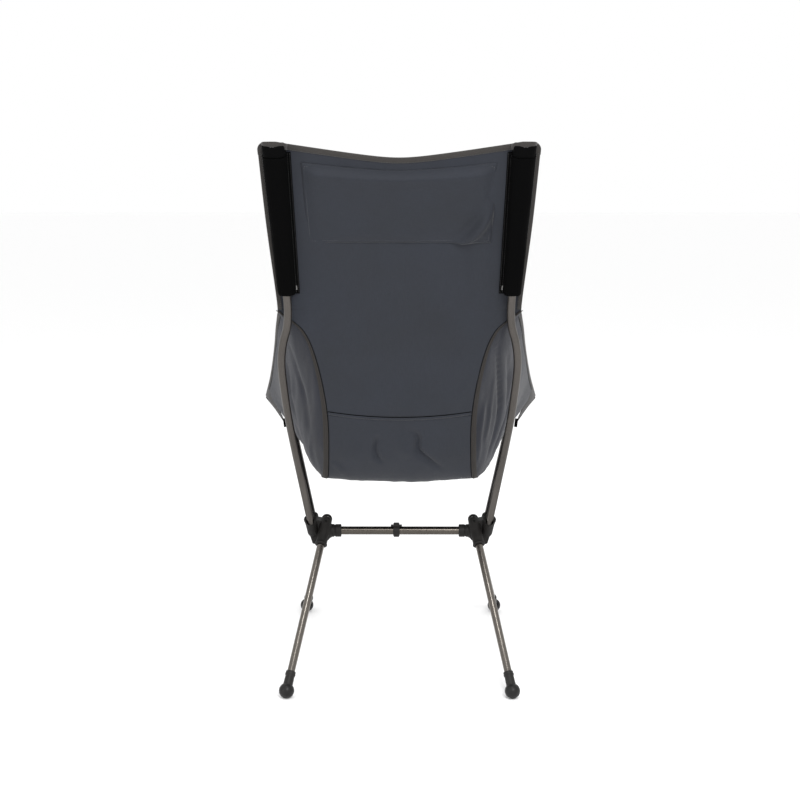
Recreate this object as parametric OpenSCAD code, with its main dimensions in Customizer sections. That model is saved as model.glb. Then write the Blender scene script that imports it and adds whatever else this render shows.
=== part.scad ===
/* [Tubes] */
// Outer diameter of the legs and poles
tube_d = 14; // [13:0.5:14.5]
// Wall thickness of the tubes
tube_wall = 0.9; // [0.7:0.1:1.1]
// Outer diameter of the crossbar
crossbar_d = 16; // [15:0.5:17]
// Diameter of the elastic cord inside the tubes
cord_d = 2.5; // [2:0.5:3]

/* [Stance] */
// Distance between the left and right feet, centre to centre
foot_track = 405; // [395:1:415]
// Distance between the front and rear feet, centre to centre
foot_base = 500; // [490:1:510]
// Diameter of the ball feet
ball_d = 27.6; // [26:0.2:29]
// Height of the crossbar's axis above the floor
hub_z = 244; // [242:1:246]
// Place of the hubs along Y, which centres the whole chair on the origin
hub_y = -43; // [-48:1:-38]

/* [Fabric] */
// Thickness of the fabric panels
cloth_t = 2; // [1.5:0.25:2.5]
// Width of the folded hems and seam tapes
hem_w = 8; // [6:0.5:10]
// Width of a rear pole sleeve at its lower end
sleeve_w_low = 30; // [29:0.5:32]
// Width of a rear pole sleeve at its upper end
sleeve_w_top = 38; // [34:0.5:40]

/* [Crossbar clip] */
// Offset of the clip from the middle of the crossbar
clip_x = 7; // [-20:1:20]
// Width of the clip along the crossbar
clip_w = 14; // [12:0.5:18]

/* [Hidden] */
$fn = 48;

gunmetal = [0.36, 0.34, 0.32];
nylon = [0.13, 0.12, 0.12];
slate = [0.25, 0.27, 0.31];
side_slate = [0.32, 0.33, 0.37];
taupe = [0.29, 0.26, 0.24];
webbing = [0.05, 0.05, 0.05];
elastic = [0.75, 0.74, 0.72];

tube_r = tube_d / 2;
cord_r = cord_d / 2;
slide_gap = 0.1;
socket_wall = 3.5;
socket_r = tube_r + socket_wall;
collar_r = crossbar_d / 2 + 4.25;
ball_r = ball_d / 2;

// Legs, in the plane x > 0, y > 0: the other three are mirrored from this one
foot_flat = 0.4;
foot = [foot_track / 2, foot_base / 2, ball_r - foot_flat];
leg_aim = [146.5, 22, hub_z + 6];
leg_dir = unit(foot - leg_aim);
leg_top = leg_aim - 3 * leg_dir;
leg_mouth = leg_aim + 33 * leg_dir;
leg_dome = leg_aim - 21 * leg_dir;
collar_len = 31;
collar_end = foot - 5 * leg_dir;

// Poles and their sockets
front_start = [168.5, -12, hub_z + 12];
front_tip = [238, -283, 436];
front_dir = unit(front_tip - front_start);
rear_start = [169, 12.5, hub_z];
rear_bends = [
    [192.5, 112, 419], [200.5, 151, 487], [205, 184, 545], [207, 212, 598], [202, 232, 636],
    [193, 248, 668], [190, 263, 700], [191.4, 280.4, 740], [192, 289.2, 760]
];
rear_dir = unit(rear_bends[0] - rear_start);
upper_dir = unit([0.036, 0.44, 1]);
upper_start = rear_bends[8] + 0.5 * upper_dir;
upper_len = 216;
upper_end = upper_start + upper_len * upper_dir;
bend_steps = 3;
ferrule_half = 30;
crossbar_half = 136;
crossbar_mouth = 114.5;
bead_r = 3;
bead = [141.1, 0, hub_z + 25];

// Fabric, as three lines that run from the top hem to the front edge: the middle line, the seam
// between the middle and the side panels, and the outer edge. The seam leaves the edge at row 3.
middle_line = [
    [0, 364, 951], [0, 309, 850], [0, 256, 735], [0, 238, 692], [0, 223, 652], [0, 196, 588],
    [0, 158, 495], [0, 108, 400], [0, 48, 352], [0, -50, 357], [0, -165, 390], [0, -275, 436]
];
seam_line = [
    [223, 372, 975], [218, 317, 850], [211, 266, 735], [209, 250, 700], [165, 234, 658], [143, 206, 594],
    [130, 160, 500], [131, 112, 410], [137, 60, 362], [153, -45, 363], [188, -165, 396], [238, -286, 454]
];
edge_line = [
    [223, 372, 975], [218, 317, 850], [211, 266, 735], [209, 250, 700], [213, 215, 685], [223, 140, 655],
    [233, 60, 620], [244, -20, 585], [255, -95, 553], [266, -165, 523], [278, -235, 494], [290, -304, 467]
];
// How far the middle of a side panel stands off the straight line between its seam and its edge
side_bulge = [
    [0, 0, 0], [0, 0, 0], [0, 0, 0], [0, 0, 0], [2, 6, -5], [6, 10, -14], [10, 14, -22], [15, 18, -35],
    [-14, 22, -98], [-12, 12, -51], [8, 8, -26], [2, 2, -6]
];
seam_row = 3;
seat_row = 6;
front_row = 11;
top_hem_rows = 0.09;
front_hem_rows = 0.08;

// ---------- Helpers ----------
function unit(v) = v / norm(v);
function mix(a, b, t) = a + (b - a) * t;
function clamp01(t) = min(max(t, 0), 1);
function steps(a, b, n) = [for (i = [0:n]) mix(a, b, i / n)];

// A smooth curve through a list of points: t is 0 at the first point and counts up by one a point
function curve(pts, t) =
    let (
        n = len(pts) - 1,
        i = min(max(floor(t), 0), n - 1),
        u = t - i,
        b = pts[i],
        c = pts[i + 1],
        a = i == 0 ? 2 * b - c : pts[i - 1],
        d = i == n - 1 ? 2 * c - b : pts[i + 2]
    )
    (2 * b + (c - a) * u + (2 * a - 5 * b + 4 * c - d) * u * u + (3 * b - a - 3 * c + d) * u * u * u) / 2;

// Puts its children's +Z along the line from p to q
module along(p, q) {
    v = q - p;
    translate(p) rotate([0, acos(v[2] / norm(v)), atan2(v[1], v[0])]) children();
}

module rod(p, q, r) { along(p, q) cylinder(r = r, h = norm(q - p)); }

module tube(p, q, r, wall) {
    difference() {
        rod(p, q, r);
        rod(p - 0.01 * unit(q - p), q + 0.01 * unit(q - p), r - wall);
    }
}

// Everything stands on the hub's place along Y. side is 1 for left and -1 for right
module placed(side = 1) {
    translate([0, hub_y, 0]) mirror([side < 0 ? 1 : 0, 0, 0]) children();
}

// A leg is drawn for the rear, and end is 1 for a rear leg and -1 for a front leg
module leg_place(side, end) { placed(side) mirror([0, end < 0 ? 1 : 0, 0]) children(); }

// A solid through the rings of points given, which all have the same count. Its ends are closed
// by a fan of triangles, or on a strip, whose ring is long and may bend, by triangles across it
module lofted(rings, strip = false) {
    n = len(rings);
    m = len(rings[0]);
    end = (n - 1) * m;
    polyhedron(
        points = [for (ring = rings) each ring],
        faces = concat(
            [for (i = [0:n - 2], j = [0:m - 1])
                let (k = (j + 1) % m) [i * m + j, (i + 1) * m + j, (i + 1) * m + k]],
            [for (i = [0:n - 2], j = [0:m - 1])
                let (k = (j + 1) % m) [i * m + j, (i + 1) * m + k, i * m + k]],
            strip
                ? [for (j = [0:m / 2 - 2], e = [0, end])
                    each e == 0
                        ? [[j, j + 1, m - 2 - j], [j, m - 2 - j, m - 1 - j]]
                        : [[e + j, e + m - 2 - j, e + j + 1], [e + j, e + m - 1 - j, e + m - 2 - j]]]
                : [for (j = [1:m - 2]) each [[0, j, j + 1], [end, end + j + 1, end + j]]]
        ),
        convexity = 8
    );
}

// The rings of a round bar that follows a path of points
function bar_rings(path, r, sides) = [
    for (i = [0:len(path) - 1])
        let (
            d = unit(path[min(i + 1, len(path) - 1)] - path[max(i - 1, 0)]),
            a = unit(cross(d, [1, 0, 0])),
            b = cross(d, a)
        )
        [for (j = [0:sides - 1]) path[i] + r * (cos(360 * j / sides) * a + sin(360 * j / sides) * b)]
];

// A tube that follows a path of points, as one skin outside, one inside and a rim at each end
module bent_tube(path, r, wall, sides) {
    n = len(path);
    outer = bar_rings(path, r, sides);
    inner = bar_rings(path, r - wall, sides);
    low = n * sides;
    function quad(a, b, c, d) = [[a, b, c], [a, c, d]];
    polyhedron(
        points = concat([for (ring = outer) each ring], [for (ring = inner) each ring]),
        faces = [
            for (j = [0:sides - 1])
                let (k = (j + 1) % sides, last = (n - 1) * sides) each concat(
                    [for (i = [0:n - 2]) each quad(
                        i * sides + j, (i + 1) * sides + j, (i + 1) * sides + k, i * sides + k)],
                    [for (i = [0:n - 2]) each quad(
                        low + i * sides + j, low + i * sides + k,
                        low + (i + 1) * sides + k, low + (i + 1) * sides + j)],
                    quad(j, k, low + k, low + j),
                    quad(last + k, last + j, low + last + j, low + last + k))
        ],
        convexity = 8
    );
}

// A sheet of cloth, t thick, through a grid of points
module sheet(grid, t) {
    n = len(grid) - 1;
    m = len(grid[0]) - 1;
    function normal(i, j) = unit(cross(
        grid[min(i + 1, n)][j] - grid[max(i - 1, 0)][j],
        grid[i][min(j + 1, m)] - grid[i][max(j - 1, 0)]));
    lofted([for (i = [0:n]) concat(
        [for (j = [0:m]) grid[i][j] + normal(i, j) * t / 2],
        [for (j = [m:-1:0]) grid[i][j] - normal(i, j) * t / 2])], strip = true);
}

// ---------- Fabric surface ----------
function flat_point(row, w) =
    let (c = curve(middle_line, row), s = curve(seam_line, row), m = [s[0] / 2, c[1], c[2]])
    (1 - w) * (1 - w) * c + 2 * w * (1 - w) * m + w * w * s;
function centre_point(row, w) =
    let (p = flat_point(row, abs(w))) [p[0] * (w < 0 ? -1 : 1), p[1], p[2]];
function side_point(row, u) =
    let (
        s = curve(seam_line, row),
        e = curve(edge_line, row),
        m = (s + e) / 2 + curve(side_bulge, row)
    )
    (1 - u) * (1 - u) * s + 2 * u * (1 - u) * m + u * u * e;
// The direction from the outer edge into the cloth
function inward(row) = unit(
    mix(flat_point(row, 0.8), side_point(row, 0.7), clamp01((row - 3.5) / 1.5)) - curve(edge_line, row));
function edge_width(row) = norm(curve(edge_line, row) - curve(seam_line, row));
// Upwards and rearwards off the cloth on the back, for the pieces that lie behind it
back_normal = unit([0, 1, -0.44]);

// ---------- Frame ----------
module domed_socket(len) {
    dome = 6;
    rotate_extrude() polygon(concat(
        [[0, 0], [socket_r, 0]],
        [for (i = [0:6]) [
            socket_r - dome + dome * cos(15 * i),
            len - dome + dome * sin(15 * i)]],
        [[0, len]]));
}

module hub(side) {
    body_y = 17;
    rear_mouth = rear_start + 26 * rear_dir;
    front_mouth = front_start + 26 * front_dir;
    color(nylon) placed(side) difference() {
        union() {
            translate([crossbar_mouth, 0, hub_z]) rotate([0, 90, 0]) cylinder(r = collar_r, h = 36);
            translate([133, 0, hub_z]) rotate([0, 90, 0]) cylinder(r = collar_r + 2.2, h = 24);
            translate([0, body_y, hub_z]) rotate([90, 0, 0]) linear_extrude(2 * body_y) polygon([
                [136, -12], [144, -20], [164, -24], [170, -22], [181, 16], [178, 22], [160, 24], [148, 22],
                [138, 12]]);
            for (end = [-1, 1]) mirror([0, end < 0 ? 1 : 0, 0]) along(leg_mouth, leg_dome)
                domed_socket(norm(leg_dome - leg_mouth) + 6);
            along(rear_mouth, rear_start) domed_socket(norm(rear_mouth - rear_start) + 10);
            along(front_mouth, front_start) domed_socket(norm(front_mouth - front_start) + 10);
        }
        translate([crossbar_mouth - 1, 0, hub_z]) rotate([0, 90, 0])
            cylinder(r = crossbar_d / 2 + 0.05, h = crossbar_half - crossbar_mouth + 1);
        for (end = [-1, 1]) mirror([0, end < 0 ? 1 : 0, 0]) {
            rod(leg_top - 0.5 * leg_dir, leg_mouth + 5 * leg_dir, tube_r + slide_gap);
            rod(leg_top - norm(bead - leg_top) * leg_dir, leg_top, cord_r + 0.5);
        }
        rod(rear_start, rear_mouth + 5 * rear_dir, tube_r + 0.05);
        rod(front_start, front_mouth + 5 * front_dir, tube_r + 0.05);
        translate(bead - [0, 0, bead_r]) cylinder(r = bead_r + 0.6, h = 20);
    }
}

module cord_knot(side) {
    color(elastic) placed(side) translate(bead) sphere(r = bead_r);
}

module crossbar() {
    color(gunmetal) placed() tube(
        [-crossbar_half + 0.2, 0, hub_z], [crossbar_half - 0.2, 0, hub_z], crossbar_d / 2, tube_wall + 0.1);
}

module crossbar_cord() {
    color(elastic) placed() rod([-crossbar_half + 2, 0, hub_z], [crossbar_half - 2, 0, hub_z], cord_r);
}

function rear_path() = concat(
    [rear_start + 0.2 * rear_dir],
    [for (t = steps(0, len(rear_bends) - 1, (len(rear_bends) - 1) * bend_steps)) curve(rear_bends, t)]);

module rear_pole_lower(side) {
    color(gunmetal) placed(side) bent_tube(rear_path(), tube_r, tube_wall, 20);
}

module rear_pole_upper(side) {
    color(gunmetal) placed(side) tube(upper_start, upper_end, tube_r, tube_wall);
}

module rear_pole_ferrule(side) {
    color(gunmetal) placed(side) tube(
        upper_start - ferrule_half * upper_dir, upper_start + ferrule_half * upper_dir,
        tube_r - tube_wall - 0.25, 1);
}

module rear_pole_cord(side) {
    path = concat(rear_path(), [upper_start + 90 * upper_dir, upper_end - 9 * upper_dir]);
    color(elastic) placed(side) lofted(bar_rings(path, cord_r, 8));
}

// A plastic plug in the end of a tube, with a rounded head over the tube's rim
module end_cap(end, dir) {
    head = 9;
    skirt = 8;
    along(end - skirt * dir, end + dir) {
        cylinder(r = tube_r - tube_wall - 0.1, h = skirt + 1);
        translate([0, 0, skirt + 0.1]) rotate_extrude() polygon(concat(
            [[0, 0], [tube_r + 0.3, 0]],
            [for (i = [0:5]) [tube_r - 3.7 + 4 * cos(18 * i), head - 4 + 4 * sin(18 * i)]],
            [[0, head]]));
    }
}

module rear_pole_cap(side) { color(nylon) placed(side) end_cap(upper_end, upper_dir); }

module front_pole(side) {
    color(gunmetal) placed(side) tube(front_start + 0.2 * front_dir, front_tip, tube_r, tube_wall);
}

module front_pole_cap(side) { color(nylon) placed(side) end_cap(front_tip, front_dir); }

module front_pole_cord(side) {
    color(elastic) placed(side) rod(front_start + 2 * front_dir, front_tip - 9 * front_dir, cord_r);
}

// ---------- Legs ----------
module leg_tube(side, end) {
    color(gunmetal) leg_place(side, end) tube(leg_top, collar_end - 8 * leg_dir, tube_r, tube_wall);
}

module leg_cord(side, end) {
    color(elastic) leg_place(side, end)
        rod(leg_top + (bead_r - norm(bead - leg_top) + 1.5) * leg_dir, collar_end - 9 * leg_dir, cord_r);
}

// The plastic collar grips the tube's lower end and flares a little at its top rim
module foot_collar(side, end) {
    color(nylon) leg_place(side, end) difference() {
        along(collar_end - collar_len * leg_dir, collar_end) rotate_extrude() polygon([
            [0, 0], [9, 0], [9, 4], [9.5, 4.6], [9.3, 6.4], [8.4, 8], [8.7, collar_len - 6], [8.7, collar_len - 3],
            [7.4, collar_len - 1.6], [7.4, collar_len], [0, collar_len]]);
        rod(collar_end - (collar_len + 1) * leg_dir, collar_end - 7.9 * leg_dir, tube_r + 0.02);
    }
}

// The ball foot is cut flat on its top, where the collar sits in it, and a little at the floor
module foot_ball(side, end) {
    shoulder = 8.6;
    reach = 40;
    color(nylon) leg_place(side, end) difference() {
        translate(foot) sphere(r = ball_r);
        rod(foot - shoulder * leg_dir, foot - reach * leg_dir, reach);
        rod(collar_end, foot - reach * leg_dir, 9.05);
        translate([foot[0] - reach, foot[1] - reach, -reach]) cube([2 * reach, 2 * reach, reach]);
    }
}

// ---------- Clip ----------
module crossbar_clip() {
    bar_r = crossbar_d / 2;
    body_r = bar_r + 2.6;
    color(nylon) placed() translate([clip_x, 0, hub_z]) difference() {
        union() {
            rotate([0, 90, 0]) cylinder(r = body_r, h = clip_w, center = true);
            translate([0, 0, bar_r + 1]) cube([22, 9, 3], center = true);
            translate([0, 0, bar_r + 4.5]) cube([clip_w, 7, 6], center = true);
            translate([0, 0, -body_r - 0.6]) cube([clip_w - 2, 8, 3.4], center = true);
        }
        rotate([0, 90, 0]) cylinder(r = bar_r + slide_gap, h = 40, center = true);
    }
}

// ---------- Sling ----------
module back_panel() {
    color(slate) placed() sheet([
        for (row = steps(top_hem_rows + 0.01, seat_row - 0.02, 24))
            let (
                beside_hem = hem_w + 0.6 + 3.4 * clamp01(row - 1),
                trim = (row < seam_row + 0.4 ? beside_hem : 0.8) / curve(seam_line, row)[0]
            )
            [for (w = steps(-1, 1, 16)) centre_point(row, w * (1 - trim))]
    ], cloth_t);
}

module seat_panel() {
    color(slate) placed() sheet([
        for (row = steps(seat_row + 0.02, front_row - front_hem_rows - 0.01, 24))
            let (trim = 0.8 / curve(seam_line, row)[0])
            [for (w = steps(-1, 1, 14)) centre_point(row, w * (1 - trim))]
    ], cloth_t);
}

module side_panel(side) {
    color(side_slate) placed(side) sheet([
        for (row = steps(seam_row + 0.45, front_row - 0.02, 26))
            let (trim = (hem_w + 1) / edge_width(row))
            [for (u = steps(0.8 / edge_width(row), 1 - trim, 8)) side_point(row, u)]
    ], cloth_t);
}

module headrest_panel() {
    lift = (cloth_t + 0.5) * back_normal;
    color(slate) placed() sheet([
        for (row = steps(0.14, 1.32, 6)) [for (w = steps(-0.7, 0.7, 14)) centre_point(row, w) + lift]
    ], cloth_t * 0.7);
}

module top_hem() {
    color(taupe) placed() sheet([
        for (row = steps(0, top_hem_rows, 2)) [for (w = steps(-0.955, 0.955, 20)) centre_point(row, w)]
    ], cloth_t + 0.8);
}

module front_hem() {
    color(taupe) placed() sheet([
        for (row = steps(front_row - front_hem_rows, front_row, 2))
            [for (w = steps(-0.98, 0.98, 16)) centre_point(row, w)]
    ], cloth_t + 0.8);
}

module side_hem(side) {
    color(taupe) placed(side) sheet([
        for (row = steps(0, front_row, 44))
            let (e = curve(edge_line, row)) [for (d = [hem_w, hem_w / 2, 0]) e + d * inward(row)]
    ], cloth_t + 0.6);
}

// The cross-section of a sleeve, behind the cloth: flat sides and a squared round back
sleeve_foot = 9.4;
sleeve_depth = 19.4;
function sleeve_profile(half) = [
    for (a = steps(0, 180, 12)) [
        half * sign(cos(a)) * pow(abs(cos(a)), 2 / 3),
        -sleeve_foot + sleeve_depth * pow(abs(sin(a)), 2 / 3)]
];
function upper_axis(z) = rear_bends[8] + upper_dir * (z - rear_bends[8][2]) / upper_dir[2];
sleeve_low_z = 724;
sleeve_top_z = 952;
sleeve_wall = 1.4;

module sleeve(side) {
    color(webbing) placed(side) sheet([
        for (z = steps(sleeve_low_z, sleeve_top_z, 8))
            let (half = mix(sleeve_w_low, sleeve_w_top, (z - sleeve_low_z) / (sleeve_top_z - sleeve_low_z)) / 2)
            [for (p = sleeve_profile(half)) upper_axis(z) + [p[0], 0, 0] + p[1] * back_normal]
    ], sleeve_wall);
}

// A closed hood at the top corner, which holds the tip of the rear pole
module tip_pocket(side) {
    low = upper_axis(sleeve_top_z + 1);
    inner_h = upper_len - (sleeve_top_z + 1 - upper_start[2]) / upper_dir[2] + 10.5;
    half = sleeve_w_top / 2;
    color(webbing) placed(side) translate(low) rotate([-atan(0.44), 0, 0]) difference() {
        linear_extrude(inner_h + 1.6) polygon(sleeve_profile(half + 0.7));
        translate([0, 1.5, -1]) linear_extrude(inner_h + 1) polygon(sleeve_profile(half - 0.7));
        translate([-half - 2, -sleeve_foot - 2, -1]) cube([2 * half + 4, 5.2, inner_h + 4]);
    }
}

// The cloth outside the front pole's tip: its lower edge runs from the seat's corner to below the tip
module front_pocket(side) {
    rear_top = [262, -222, 452];
    front_top = [289, -302, 462];
    rear_low = [247, -266, 418];
    front_low = [270, -293, 442];
    color(side_slate) placed(side) sheet([
        for (v = steps(0, 1, 6)) [
            for (u = steps(0, 1, 6))
                mix(mix(rear_top, front_top, u), mix(rear_low, front_low, u), v)
                    + [7 * sin(180 * u) * sin(90 * v), 0, 0]
        ]
    ], cloth_t * 0.8);
}

module side_seam_tape(side) {
    off = cloth_t / 2 + 0.9;
    color(taupe) placed(side) sheet([
        for (row = steps(seam_row + 0.5, front_row - 0.15, 40))
            let (
                s = curve(seam_line, row),
                into = unit(flat_point(row, 0.9) - s),
                out = unit(side_point(row, 0.12) - s),
                along_seam = unit(curve(seam_line, row + 0.05) - curve(seam_line, row - 0.05)),
                face = unit(cross(unit(out - into), along_seam))
            )
            [for (d = [-0.5, 0, 0.5]) s + face * off + d * (hem_w - 1) * unit(out - into)]
    ], 0.8);
}

module seat_seam_tape() {
    color(taupe) placed() sheet([
        for (row = [seat_row - 0.05, seat_row + 0.05])
            [for (w = steps(-0.96, 0.96, 16)) centre_point(row, w) + (cloth_t / 2 + 0.9) * back_normal]
    ], 0.8);
}

hub(1);  // hub_left
hub(-1);  // hub_right
cord_knot(1);  // cord_knot_left
cord_knot(-1);  // cord_knot_right
crossbar();
crossbar_cord();
rear_pole_lower(1);  // rear_pole_lower_left
rear_pole_lower(-1);  // rear_pole_lower_right
rear_pole_ferrule(1);  // rear_pole_ferrule_left
rear_pole_ferrule(-1);  // rear_pole_ferrule_right
rear_pole_upper(1);  // rear_pole_upper_left
rear_pole_upper(-1);  // rear_pole_upper_right
rear_pole_cap(1);  // rear_pole_cap_left
rear_pole_cap(-1);  // rear_pole_cap_right
rear_pole_cord(1);  // rear_pole_cord_left
rear_pole_cord(-1);  // rear_pole_cord_right
front_pole(1);  // front_pole_left
front_pole(-1);  // front_pole_right
front_pole_cap(1);  // front_pole_cap_left
front_pole_cap(-1);  // front_pole_cap_right
front_pole_cord(1);  // front_pole_cord_left
front_pole_cord(-1);  // front_pole_cord_right
leg_tube(1, -1);  // leg_tube_front_left
leg_tube(-1, -1);  // leg_tube_front_right
leg_tube(1, 1);  // leg_tube_rear_left
leg_tube(-1, 1);  // leg_tube_rear_right
foot_collar(1, -1);  // foot_collar_front_left
foot_collar(-1, -1);  // foot_collar_front_right
foot_collar(1, 1);  // foot_collar_rear_left
foot_collar(-1, 1);  // foot_collar_rear_right
foot_ball(1, -1);  // foot_ball_front_left
foot_ball(-1, -1);  // foot_ball_front_right
foot_ball(1, 1);  // foot_ball_rear_left
foot_ball(-1, 1);  // foot_ball_rear_right
leg_cord(1, -1);  // leg_cord_front_left
leg_cord(-1, -1);  // leg_cord_front_right
leg_cord(1, 1);  // leg_cord_rear_left
leg_cord(-1, 1);  // leg_cord_rear_right
crossbar_clip();
back_panel();
seat_panel();
side_panel(1);  // side_panel_left
side_panel(-1);  // side_panel_right
headrest_panel();
top_hem();
front_hem();
side_hem(1);  // side_hem_left
side_hem(-1);  // side_hem_right
sleeve(1);  // sleeve_left
sleeve(-1);  // sleeve_right
tip_pocket(1);  // tip_pocket_left
tip_pocket(-1);  // tip_pocket_right
front_pocket(1);  // front_pocket_left
front_pocket(-1);  // front_pocket_right
side_seam_tape(1);  // side_seam_tape_left
side_seam_tape(-1);  // side_seam_tape_right
seat_seam_tape();
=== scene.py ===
import math

import bmesh
import bpy
import numpy as np
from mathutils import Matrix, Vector, noise


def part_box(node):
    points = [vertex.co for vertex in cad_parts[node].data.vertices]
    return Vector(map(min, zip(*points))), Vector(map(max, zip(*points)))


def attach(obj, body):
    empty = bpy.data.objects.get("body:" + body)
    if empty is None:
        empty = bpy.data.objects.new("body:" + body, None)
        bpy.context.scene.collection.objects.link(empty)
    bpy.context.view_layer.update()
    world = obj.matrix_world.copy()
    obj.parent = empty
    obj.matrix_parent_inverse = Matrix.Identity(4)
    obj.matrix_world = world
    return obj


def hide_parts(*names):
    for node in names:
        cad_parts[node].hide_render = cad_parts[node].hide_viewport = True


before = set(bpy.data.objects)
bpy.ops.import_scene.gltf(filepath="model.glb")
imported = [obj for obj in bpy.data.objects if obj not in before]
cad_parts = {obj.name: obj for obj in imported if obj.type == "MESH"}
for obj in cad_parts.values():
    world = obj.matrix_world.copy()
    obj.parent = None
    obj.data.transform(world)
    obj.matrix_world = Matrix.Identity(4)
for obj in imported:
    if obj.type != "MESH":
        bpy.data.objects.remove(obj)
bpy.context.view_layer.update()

# ---------- Places and sizes, in metres, read from the CAD frame ----------
MM = 0.001
BAR_LOW, BAR_HIGH = (np.array(corner, float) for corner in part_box("crossbar"))
HUB = (BAR_LOW + BAR_HIGH) / 2  # the middle of the crossbar
TUBE_R = 0.007
CLOTH_T, WEBBING_T, HOOD_T = 0.0009, 0.0013, 0.0012
HEM_W, TOP_HEM_W = 0.008, 0.0105
CORNER_R, CORNER_TAIL = 0.012, 0.008  # the top hem's turn down at each corner

# The fabric's three guiding lines, as in the CAD source: millimetres, with Y counted from the hubs
MIDDLE_LINE = [
    (0, 364, 951), (0, 309, 850), (0, 256, 735), (0, 238, 692), (0, 223, 652), (0, 196, 588),
    (0, 158, 495), (0, 108, 400), (0, 48, 352), (0, -50, 357), (0, -165, 390), (0, -275, 436),
]
SEAM_LINE = [
    (223, 372, 975), (218, 317, 850), (211, 266, 735), (209, 250, 700), (165, 234, 658), (143, 206, 594),
    (130, 160, 500), (131, 112, 410), (137, 60, 362), (153, -45, 363), (188, -165, 396), (238, -286, 454),
]
EDGE_LINE = [
    (223, 372, 975), (218, 317, 850), (211, 266, 735), (209, 250, 700), (213, 215, 685), (223, 140, 655),
    (233, 60, 620), (244, -20, 585), (255, -95, 553), (266, -165, 523), (278, -235, 494), (290, -304, 467),
]
# How far each row of a side panel bows out. A search against the photo's outline gave rows 7 to 9;
# some of the numbers were changed after the search.
SIDE_BULGE = [
    (0, 0, 0), (0, 0, 0), (0, 0, 0), (0, 0, 0), (2, 6, -5), (6, 10, -14), (10, 14, -22), (15, 18, -35),
    (-14, 22, -98), (-12, 12, -51), (8, 8, -26), (2, 2, -6),
]
SEAM_ROW, SEAT_ROW, FRONT_ROW = 3, 6, 11
SEAM_SAG = 0.07  # the cross seam's rise at its ends, in rows
TOP_DIP = 0.024
LABEL = {1: "left", -1: "right"}  # the sitter's left is +X
BACK_NORMAL = np.array([0, 1, -0.44]) / math.hypot(1, 0.44)
UPPER_DIR = np.array([0.036, 0.44, 1.0]) / math.sqrt(0.036**2 + 0.44**2 + 1)
UPPER_FROM = np.array([0.192, 0.2892, 0.760])
SLEEVE_LOW, SLEEVE_TOP = 0.727, 0.952
SLEEVE_FOOT, SLEEVE_DEPTH = 0.0098, 0.0195


def metres(points, bulge=False):
    out = np.array(points, float) * MM
    if not bulge:
        out[:, 1] += HUB[1]
    return out


MIDDLE, SEAM, EDGE = metres(MIDDLE_LINE), metres(SEAM_LINE), metres(EDGE_LINE)
for line in (SEAM, EDGE):
    line[:2, 0] += (0.0035, 0.002)  # the hem's cloth stands a little proud at the top corners
BULGE = metres(SIDE_BULGE, bulge=True)
UPPER_FROM[1] += HUB[1]
TIP_X = float(UPPER_FROM[0] + UPPER_DIR[0] / UPPER_DIR[2] * (0.968 - UPPER_FROM[2]))


def unit(v):
    v = np.asarray(v, float)
    return v / np.maximum(np.linalg.norm(v, axis=-1, keepdims=True), 1e-12)


def curve(points, t):
    """A smooth curve through points: t is 0 at the first and counts up by one a point."""
    t = np.asarray(t, float)
    padded = np.vstack([2 * points[0] - points[1], points, 2 * points[-1] - points[-2]])
    i = np.clip(np.floor(t).astype(int), 0, len(points) - 2)
    u = (t - i)[..., None]
    a, b, c, d = (padded[i + k] for k in range(4))
    return (2 * b + (c - a) * u + (2 * a - 5 * b + 4 * c - d) * u**2 + (3 * b - a - 3 * c + d) * u**3) / 2


def bend(a, m, b, u):
    return (1 - u) ** 2 * a + 2 * u * (1 - u) * m + u**2 * b


def centre_point(row, w):
    """The cloth between the two side seams: w runs from -1 to 1."""
    row, w = np.broadcast_arrays(np.asarray(row, float), np.asarray(w, float))
    c = curve(MIDDLE, row)
    # Above the side panels the cloth ends at the chair's own edge
    s = np.where((row < SEAM_ROW)[..., None], curve(EDGE, row), curve(SEAM, row))
    m = c.copy()
    m[..., 0] = s[..., 0] / 2
    p = bend(c, m, s, np.abs(w)[..., None])
    p[..., 0] *= np.where(w < 0, -1, 1)
    # The top edge is pulled up towards the pole tips, so it dips like a wide V
    share = np.clip(np.abs(w) / 0.86, 0, 1)
    rise = (np.sqrt(share**2 + 0.04) - 0.2) / 0.82 - w**2
    p[..., 2] += TOP_DIP * rise * np.clip(1 - row / 0.7, 0, 1) ** 2
    return p


def side_point(row, u):
    """The side panel on +X: u is 0 on its seam and 1 on the chair's outer edge."""
    row, u = np.broadcast_arrays(np.asarray(row, float), np.asarray(u, float))
    s, e = curve(SEAM, row), curve(EDGE, row)
    return bend(s, (s + e) / 2 + curve(BULGE, row), e, u[..., None])


def inward(row):
    """The direction from the outer edge into the cloth, on +X."""
    row = np.asarray(row, float)
    blend = np.clip((row - 3.0) / 0.8, 0, 1)[..., None]
    aim = centre_point(row, 0.8) * (1 - blend) + side_point(row, 0.7) * blend
    return unit(aim - curve(EDGE, row))


def new_object(name, verts, faces, uvs=None):
    mesh = bpy.data.meshes.new(name)
    mesh.from_pydata([tuple(v) for v in verts], [], [tuple(f) for f in faces])
    if uvs is not None:
        layer = mesh.uv_layers.new(name="UVMap")
        idx = np.zeros(len(mesh.loops), np.int32)
        mesh.loops.foreach_get("vertex_index", idx)
        layer.data.foreach_set("uv", np.asarray(uvs, np.float32)[idx].ravel())
    mesh.polygons.foreach_set("use_smooth", [True] * len(mesh.polygons))
    mesh.update()
    obj = bpy.data.objects.new(name, mesh)
    bpy.context.scene.collection.objects.link(obj)
    return obj


def grid_faces(n, m, wrap=False):
    cols = m if wrap else m - 1
    i, j = np.meshgrid(np.arange(n - 1), np.arange(cols), indexing="ij")
    k = (j + 1) % m
    return np.stack([i * m + j, i * m + k, (i + 1) * m + k, (i + 1) * m + j], -1).reshape(-1, 4)


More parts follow.
